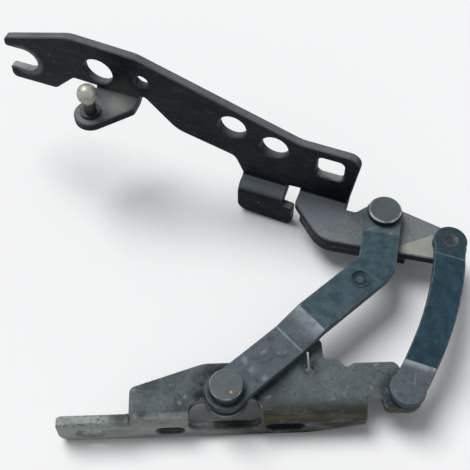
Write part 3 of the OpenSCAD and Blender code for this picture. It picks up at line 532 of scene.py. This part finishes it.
# Zinc-plated ball, dulled to warm grey and pitted by the strut's socket;
# neck and collar are black with old grease
wornZinc = {
    "zinc": "#b3b4a9", "dull": "#8b8c81", "pit": "#3f382c", "grease": "#1f2326", "metal": 0.55,
    "surface": {"smooth": 0.4, "rough": 0.75, "grainSize": 0.9, "depth": 0.08},
    # bare metal fades out just past the ball's radius
    "paleFrom": 0.1, "bareTo": 0.7,
    "pits": {"size": 1.3, "start": 0.55, "end": 0.66, "high": 0.85, "seed": 2.0, "detail": 3.0},
    "mottle": {"size": 3.5, "start": 0.3, "end": 0.65, "seed": 1.0},
}


def makeWornZinc(centre, radius):
    look = wornZinc
    material, tree, inputs, coord = newMaterial("worn_zinc_plate")
    paleArea = around(tree, coord, centre, radius / mm + look["paleFrom"], radius / mm + look["bareTo"])
    pits = patches(tree, coord, **look["pits"])
    greased = addNode(tree, "ShaderNodeMath", {0: 1.0, 1: paleArea}, operation="SUBTRACT")
    colour = layered(
        tree, look["dull"], (look["zinc"], patches(tree, coord, **look["mottle"])), (look["pit"], pits),
        (look["grease"], greased))
    finish(tree, inputs, coord, colour, pits, **look["surface"])
    tree.links.new(allOf(tree, paleArea, look["metal"]), inputs["Metallic"])
    return material


# Sintered bearing bronze, dark with oil: only rims of it show between plate and link
oiledBronze = {
    "bronze": "#7d6c4a", "oil": "#3d372b", "metal": 0.9,
    "surface": {"smooth": 0.35, "rough": 0.6, "grainSize": 0.8, "depth": 0.03},
    "stains": {"size": 3.0, "start": 0.35, "end": 0.65, "seed": 1.0},
}


def makeOiledBronze():
    look = oiledBronze
    material, tree, inputs, coord = newMaterial("oiled_bronze", Metallic=look["metal"])
    stains = patches(tree, coord, **look["stains"])
    colour = layered(tree, look["bronze"], (look["oil"], stains))
    finish(tree, inputs, coord, colour, stains, **look["surface"])
    return material


# the front link: elbow and coined mark from its lower pivot, creases along its two legs, in millimetres;
# dust lies as far as the crest and on the upper eye; a dust pair is before and after its place,
# a painted highlight's pair width and strength, a pair for a ring of grime and painted shade inner and outer
# radius
frontBar = {
    "heading": 39, "deep": "#283d47", "clean": "#41555c",
    "elbow": (71.45, 58.2), "mark": 80.8, "step": 37.0, "crest": 50.0, "eye": 11.7,
    "crestSpread": 0.8, "crestDust": (0.9, 0.06),
    "eyeSpread": (0.4, 0.6), "eyeDust": (0.0, 0.9),
    "stepHighlight": (1.0, 0.6), "crestHighlight": (8.0, 0.75),
    "scuffs": (
        ((12.3, 8.8, 4), 2.8), ((17.7, 4.9, 4), 2.2), ((8.2, 13.3, 4), 2.6), ((34.1, 36.5, 8), 2.6),
        ((40.4, 26.2, 8), 2.4)),
    "eyeGrimeAndShade": (7.2, 11.0), "markGrimeAndShade": (2.4, 4.9),
}


def makeFrontSkin():
    bar = frontBar
    elbow = offPivot(pivotA, *bar["elbow"])
    legOne, legTwo = elbow - pivotA, pivotC - elbow
    legOne.z = legTwo.z = 0.0
    crest = bar["crest"]
    eyeStart = legTwo.length / mm - bar["eye"]
    eyeLow, eyeHigh = bar["eyeSpread"]
    mark = pivotA + legOne.normalized() * bar["mark"] * mm
    mark.z = linkTop
    return makeSlatePaint(
        "slate_paint_front", bar["heading"], bar["deep"], bar["clean"],
        [(pivotA, legOne, crest - bar["crestSpread"], crest + bar["crestSpread"], *bar["crestDust"]),
         (elbow, legTwo, eyeStart - eyeLow, eyeStart + eyeHigh, *bar["eyeDust"])],
        [(pivotA, legOne, bar["step"], *bar["stepHighlight"]), (pivotA, legOne, crest, *bar["crestHighlight"])],
        [(offPivot(pivotA, *place), size) for place, size in bar["scuffs"]],
        [(pivotA, *bar["eyeGrimeAndShade"]), (mark, *bar["markGrimeAndShade"])])


# the rear link: dust and the creases' painted highlights along the line between its pivots, from the lower
# and from the upper one
rearBar = {
    "heading": 68, "deep": "#172e39", "clean": "#27414c",
    "footSpread": (11.5, 13.0), "footDust": (0.95, 0.03), "eyeSpread": (9.5, 8.5), "eyeDust": (0.03, 0.12),
    "footCrease": 12.3, "footHighlight": (3.5, 0.85), "eyeCrease": 9.0, "eyeHighlight": (0.9, 0.3),
    "scuff": (1, 3, 4), "scuffSize": 4.0, "eyeGrimeAndShade": (4.6, 6.6),
}


def makeRearSkin():
    bar = rearBar
    line = pivotD - pivotB
    line.z = 0.0
    end = line.length / mm
    eyeLow, eyeHigh = bar["eyeSpread"]
    return makeSlatePaint(
        "slate_paint_rear", bar["heading"], bar["deep"], bar["clean"],
        [(pivotB, line, *bar["footSpread"], *bar["footDust"]),
         (pivotB, line, end - eyeLow, end - eyeHigh, *bar["eyeDust"])],
        [(pivotB, line, bar["footCrease"], *bar["footHighlight"]),
         (pivotB, line, end - bar["eyeCrease"], *bar["eyeHighlight"])],
        [(offPivot(pivotB, *bar["scuff"]), bar["scuffSize"])], [(pivotD, *bar["eyeGrimeAndShade"])])


# the front lower head has a broken place in its paint
brokenX, brokenY = rivetPaint["brokenFrom"]
broken = Vector((pivotA.x + brokenX * mm, pivotA.y + brokenY * mm, headTop))

frontSkin = makeFrontSkin()
rearSkin = makeRearSkin()
bracketSkin = makeDipPaint()
roadSkin = makeRoadPaint()
lowHeadSkin = makeRivetPaint("dusty_rivet_paint", spot=broken, **rivetPaint["dustyHead"])
topHeadSkin = makeRivetPaint("rubbed_highlit_rivet_paint", **rivetPaint["rubbedAndHighlitHead"])
rearHeadSkin = makeRivetPaint("slate_rivet_paint", **rivetPaint["slateHead"])
ballLow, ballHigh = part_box("ball_stud")
zincSkin = makeWornZinc(mounts["strut_ball"], (ballHigh.x - ballLow.x) / 2)
bronzeSkin = makeOiledBronze()
print("materials ready:", len(bpy.data.materials))


# stand-ins with eased edges, because pressed plate and cropped bar have no sharp rim;
# lengths in millimetres, angles in degrees
plateEase = {
    "weld": 0.02, "flatAngle": 0.6, "rimAngle": 24, "steps": 3, "leastWall": 1.6, "boreReach": 6.8,
    "smooth": 15, "flatWeight": 100,
}
# node: body, skin, slot and the size of its eased rim, where 0.0 only merges and smooths the copy
standIns = {
    "lower_bracket": ("body_bracket", roadSkin, "bracket_paint", 0.8),
    "upper_bracket": ("bonnet_bracket", bracketSkin, "bracket_paint", 0.8),
    "front_link": ("front_link", frontSkin, "link_paint", 0.7),
    "rear_link": ("rear_link", rearSkin, "link_paint", 0.7),
    "ball_stud": ("bonnet_bracket", zincSkin, "worn_zinc", 0.25),
    "front_lower_rivet": ("body_bracket", lowHeadSkin, "link_paint", 0.0),
    "front_upper_rivet": ("bonnet_bracket", topHeadSkin, "link_paint", 0.0),
    "rear_lower_rivet": ("rear_link", rearHeadSkin, "link_paint", 0.0),
    "rear_upper_rivet": ("rear_link", rearHeadSkin, "link_paint", 0.2),
}


# how far a face reaches away from one of its edges
def reachFrom(face, edge):
    start = edge.verts[0].co
    line = (edge.verts[1].co - start).normalized()
    return max((v.co - start - line * (v.co - start).dot(line)).length for v in face.verts)


# the rims of the pivot bores stay as they are, because bushes and rivets fill them
def inBore(edge):
    middle = (edge.verts[0].co + edge.verts[1].co) / 2
    reach = plateEase["boreReach"] * mm
    return any((middle - pivot).xy.length < reach for pivot in (pivotA, pivotB, pivotC, pivotD))


def easedCopy(node, rim):
    look = plateEase
    shell = bmesh.new()
    shell.from_mesh(frame["nodes"][node].data)
    bmesh.ops.remove_doubles(shell, verts=shell.verts, dist=look["weld"] * mm)
    bmesh.ops.dissolve_limit(
        shell, angle_limit=radians(look["flatAngle"]), verts=shell.verts, edges=shell.edges,
        use_dissolve_boundaries=False)
    if rim:
        worn = shell.faces.layers.float.new("rim")
        rims = []
        # convex edges between faces that are wide enough to take the rounding
        for edge in shell.edges:
            if edge.calc_face_angle_signed() < radians(look["rimAngle"]) or inBore(edge):
                continue
            if min(reachFrom(face, edge) for face in edge.link_faces) > look["leastWall"] * mm:
                rims.append(edge)
        rounded = bmesh.ops.bevel(
            shell, geom=rims, offset=rim * mm, offset_type="OFFSET", segments=look["steps"], profile=0.5,
            affect="EDGES", clamp_overlap=False, miter_outer="SHARP", miter_inner="SHARP")
        for face in rounded["faces"]:
            face[worn] = 1.0
    bmesh.ops.triangulate(shell, faces=[face for face in shell.faces if len(face.verts) > 4])
    mesh = bpy.data.meshes.new(node + "_eased")
    shell.to_mesh(mesh)
    shell.free()
    for face in mesh.polygons:
        face.use_smooth = True
    mesh.set_sharp_from_angle(angle=radians(look["smooth"]))
    piece = bpy.data.objects.new(node + "_eased", mesh)
    bpy.context.scene.collection.objects.link(piece)
    if rim:
        weighted = piece.modifiers.new("weightedNormals", "WEIGHTED_NORMAL")
        weighted.keep_sharp = True
        weighted.weight = look["flatWeight"]
    return piece


for node, (body, skin, slotName, rim) in standIns.items():
    piece = easedCopy(node, rim)
    piece.data.materials.append(skin)
    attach(piece, body)
    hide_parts(node)
    print("eased", node, len(piece.data.polygons), "faces")

for node, item in frame["nodes"].items():
    if node not in standIns:
        for slot in item.material_slots:
            slot.material = bronzeSkin
print("bushes and washers in bronze")


# Caked grit: crumbs of road dirt, brown to pale grey, stuck to the body bracket
crumbs = {
    "brown": "#383226", "grey": "#66635a", "gloss": 0.1,
    "surface": {"smooth": 0.8, "rough": 0.95, "grainSize": 0.3, "depth": 0.03},
    "mixed": {"size": 2.5, "start": 0.35, "end": 0.65, "seed": 1.0},
}


def makeGritSkin():
    look = crumbs
    material, tree, inputs, coord = newMaterial("caked_grit", **{"Specular IOR Level": look["gloss"]})
    mixed = patches(tree, coord, **look["mixed"])
    finish(tree, inputs, coord, layered(tree, look["brown"], (look["grey"], mixed)), mixed, **look["surface"])
    return material


# crumbs scattered over the web and bend, clear of the two lower pivots and low enough to pass
# under the links; each value is an input of the tree, lengths in metres and turns in radians
scatter = {
    "Density": 240000.0, "Seed": 7, "Smallest": 0.00012, "Largest": 0.0004, "Clear Radius": 0.0115,
    "Least Slope": 0.6, "Front Pivot": pivotA, "Rear Pivot": pivotB, "Reach": pivotA.y + 0.012,
    "Bolt Gap": 0.0005, "Turn": Vector((0.6, 0.6, 2 * pi)), "Squat": Vector((1.0, 0.75, 0.55)),
}


def makeScatter(skin):
    tree = bpy.data.node_groups.new("gritScatter", "GeometryNodeTree")
    tree.interface.new_socket("Geometry", in_out="INPUT", socket_type="NodeSocketGeometry")
    tree.interface.new_socket("Geometry", in_out="OUTPUT", socket_type="NodeSocketGeometry")
    kinds = {float: "NodeSocketFloat", int: "NodeSocketInt", Vector: "NodeSocketVector"}
    for name, value in scatter.items():
        tree.interface.new_socket(name, in_out="INPUT", socket_type=kinds[type(value)])
    given = tree.nodes.new("NodeGroupInput").outputs
    points = addNode(tree, "GeometryNodeDistributePointsOnFaces", {
        "Mesh": given["Geometry"], "Density": given["Density"], "Seed": given["Seed"]})
    # a crumb stays where the face looks up, on the bend's side of the web, behind the bolt face
    # and away from both pivots
    place = addNode(tree, "GeometryNodeInputPosition")
    depth = addNode(tree, "ShaderNodeSeparateXYZ", {0: place}, out="Y")
    slope = addNode(tree, "ShaderNodeSeparateXYZ", {0: points.node.outputs["Normal"]}, out="Z")
    tests = [
        addNode(tree, "FunctionNodeCompare", {0: slope, 1: given["Least Slope"]}, operation="GREATER_THAN"),
        addNode(tree, "FunctionNodeCompare", {0: depth, 1: given["Reach"]}, operation="LESS_THAN"),
        addNode(tree, "FunctionNodeCompare", {0: depth, 1: given["Bolt Gap"]}, operation="GREATER_THAN")]
    flatPlace = addNode(tree, "ShaderNodeVectorMath", {0: place, 1: (1, 1, 0)}, operation="MULTIPLY")
    for name in ("Front Pivot", "Rear Pivot"):
        flatPivot = addNode(tree, "ShaderNodeVectorMath", {
            0: given[name], 1: (1, 1, 0)}, operation="MULTIPLY")
        gap = addNode(tree, "ShaderNodeVectorMath", {
            0: flatPlace, 1: flatPivot}, out="Value", operation="DISTANCE")
        clear = addNode(tree, "FunctionNodeCompare", {
            0: gap, 1: given["Clear Radius"]}, operation="GREATER_THAN")
        tests.append(clear)
    keep = tests[0]
    for test in tests[1:]:
        keep = addNode(tree, "FunctionNodeBooleanMath", {0: keep, 1: test}, operation="AND")
    size = addNode(tree, "FunctionNodeRandomValue", {
        2: given["Smallest"], 3: given["Largest"], "Seed": given["Seed"]}, out=1, data_type="FLOAT")
    turn = addNode(tree, "FunctionNodeRandomValue", {
        0: (0, 0, 0), 1: given["Turn"], "Seed": given["Seed"]}, data_type="FLOAT_VECTOR")
    squat = addNode(tree, "ShaderNodeVectorMath", {0: given["Squat"], "Scale": size}, operation="SCALE")
    crumb = addNode(tree, "GeometryNodeMeshIcoSphere", {"Radius": 1.0, "Subdivisions": 1})
    laid = addNode(tree, "GeometryNodeInstanceOnPoints", {
        "Points": points, "Selection": keep, "Instance": crumb, "Rotation": turn, "Scale": squat})
    whole = addNode(tree, "GeometryNodeRealizeInstances", {"Geometry": laid})
    skinned = addNode(tree, "GeometryNodeSetMaterial", {"Geometry": whole, "Material": skin})
    addNode(tree, "NodeGroupOutput", {"Geometry": skinned})
    return tree


def layGrit():
    skin = makeGritSkin()
    tree = makeScatter(skin)
    # faces in a fixed order, so that one seed lays the same crumbs in each run
    eased = bpy.data.objects["lower_bracket_eased"].data
    loops = []
    for face in eased.polygons:
        corners = list(face.vertices)
        first = corners.index(min(corners))
        loops.append(corners[first:] + corners[:first])
    ground = bpy.data.meshes.new("caked_grit")
    ground.from_pydata([vert.co for vert in eased.vertices], [], sorted(loops))
    grit = bpy.data.objects.new("caked_grit", ground)
    bpy.context.scene.collection.objects.link(grit)
    spread = grit.modifiers.new("gritScatter", "NODES")
    spread.node_group = tree
    for item in tree.interface.items_tree:
        if item.in_out == "INPUT" and item.name in scatter:
            spread[item.identifier] = scatter[item.name]
    bpy.context.view_layer.update()
    depsgraph = bpy.context.evaluated_depsgraph_get()
    mesh = bpy.data.meshes.new_from_object(grit.evaluated_get(depsgraph), depsgraph=depsgraph)
    mesh.materials.clear()  # the crumb's sphere brings an empty slot along
    mesh.materials.append(skin)
    grit.modifiers.clear()
    grit.data = mesh
    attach(grit, "body_bracket")
    print("grit laid:", len(mesh.polygons), "faces")


layGrit()


# floor and light: sizes in metres, the lamp's softness in degrees
stage = {
    "floorSize": 6.0, "floor": "#f6f6f6", "zenith": 0.36, "horizon": 0.2, "roomTint": (0.95, 0.97, 1.0, 1.0),
    "sunFrom": (-0.35, 0.36, 0.9), "sunSoftness": 36, "sunPower": 2.5,
}


def makeFloor():
    floorZ = cadBox[0].z
    half = stage["floorSize"] / 2
    corners = [(-half, -half, floorZ), (half, -half, floorZ), (half, half, floorZ), (-half, half, floorZ)]
    mesh = bpy.data.meshes.new("floor")
    mesh.from_pydata(corners, [], [(0, 1, 2, 3)])
    floor = bpy.data.objects.new("floor", mesh)
    bpy.context.scene.collection.objects.link(floor)
    # plain matt paper, which keeps the shadow and has no gloss
    material = newMaterial("pale_paper", **{
        "Base Color": toLinear(stage["floor"]), "Roughness": 1.0, "Specular IOR Level": 0.0})[0]
    mesh.materials.append(material)


def makeLight():
    world = bpy.data.worlds.new("studio")
    bpy.context.scene.world = world
    world.use_nodes = True
    tree = world.node_tree
    tree.nodes.clear()
    # a room that is brightest overhead
    sky = addNode(tree, "ShaderNodeTexCoord", out="Generated")
    height = addNode(tree, "ShaderNodeSeparateXYZ", {0: sky}, out="Z")
    level = addNode(tree, "ShaderNodeMapRange", {
        "Value": height, "From Min": 0.0, "From Max": 1.0,
        "To Min": stage["horizon"], "To Max": stage["zenith"]})
    room = addNode(tree, "ShaderNodeBackground", {"Color": stage["roomTint"], "Strength": level})
    white = addNode(tree, "ShaderNodeBackground", {"Color": (1.0, 1.0, 1.0, 1.0), "Strength": 1.0})
    rays = addNode(tree, "ShaderNodeLightPath").node.outputs
    seen = anyOf(tree, rays["Is Camera Ray"], rays["Is Glossy Ray"], rays["Is Transmission Ray"])
    mixed = addNode(tree, "ShaderNodeMixShader", {0: seen, 1: room, 2: white})
    addNode(tree, "ShaderNodeOutputWorld", {"Surface": mixed})
    # a broad soft lamp above and behind the hinge, so that flat faces are lit and upright ones stay dark
    lampData = bpy.data.lights.new("broad_lamp", "SUN")
    lampData.energy = stage["sunPower"]
    lampData.angle = radians(stage["sunSoftness"])
    lamp = bpy.data.objects.new("broad_lamp", lampData)
    lamp.rotation_euler = Vector(stage["sunFrom"]).to_track_quat("Z", "Y").to_euler()
    bpy.context.scene.collection.objects.link(lamp)


# the photograph's camera, looking down over the body flange with no roll;
# place in metres, angles in degrees, focal length and frame in pixels, sensor in millimetres
view = {
    "place": (0.03985, -0.1516, 0.3692), "down": 55.5, "turn": 2.0, "focal": 900.0, "frame": 470.0,
    "sensor": 36.0, "clipStart": 0.01,
}


def makeCamera():
    down, turn = radians(view["down"]), radians(view["turn"])
    forward = Vector((sin(turn) * cos(down), cos(turn) * cos(down), -sin(down)))
    right = Vector((cos(turn), -sin(turn), 0))
    up = right.cross(forward)
    data = bpy.data.cameras.new("camera")
    data.sensor_width = view["sensor"]
    data.lens = view["focal"] / view["frame"] * view["sensor"]
    data.clip_start = view["clipStart"]
    camera = bpy.data.objects.new("camera", data)
    turnMatrix = Matrix((right, up, -forward)).transposed().to_4x4()
    camera.matrix_world = Matrix.Translation(view["place"]) @ turnMatrix
    bpy.context.scene.collection.objects.link(camera)
    bpy.context.scene.camera = camera


makeFloor()
makeLight()
makeCamera()
bpy.context.scene.view_settings.view_transform = "Standard"
print("floor, light and camera ready")
